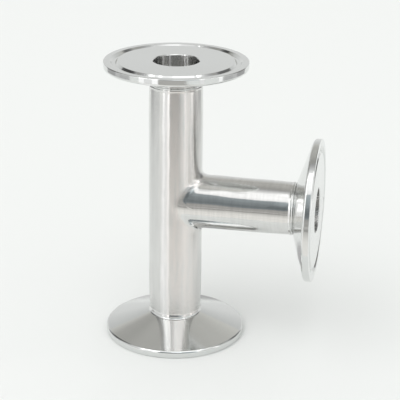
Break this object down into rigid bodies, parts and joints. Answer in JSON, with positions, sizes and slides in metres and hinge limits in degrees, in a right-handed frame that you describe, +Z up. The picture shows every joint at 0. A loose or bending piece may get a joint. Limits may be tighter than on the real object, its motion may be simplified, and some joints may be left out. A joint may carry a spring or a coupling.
{
  "type": "sanitary tee",
  "caption": "Stainless steel sanitary tee: a straight tube with a right-angle branch and a welded clamp ferrule with gasket groove on each end.",
  "frame": {"origin": "centre of the bottom ferrule's face, on the run's axis", "axes": "+Z up the run towards the top ferrule, +X along the branch"},
  "size_m": [0.0763, 0.0506, 0.102],
  "materials": {
    "tube_steel": "stainless steel, mirror polished on the branch and finely brushed round the run",
    "ferrule_steel": "stainless steel, fine turned and polished"
  },
  "bodies": {
    "root": {"tee_body": "tube_steel", "bottom_ferrule": "ferrule_steel", "top_ferrule": "ferrule_steel", "branch_ferrule": "ferrule_steel"}
  },
  "joints": []
}
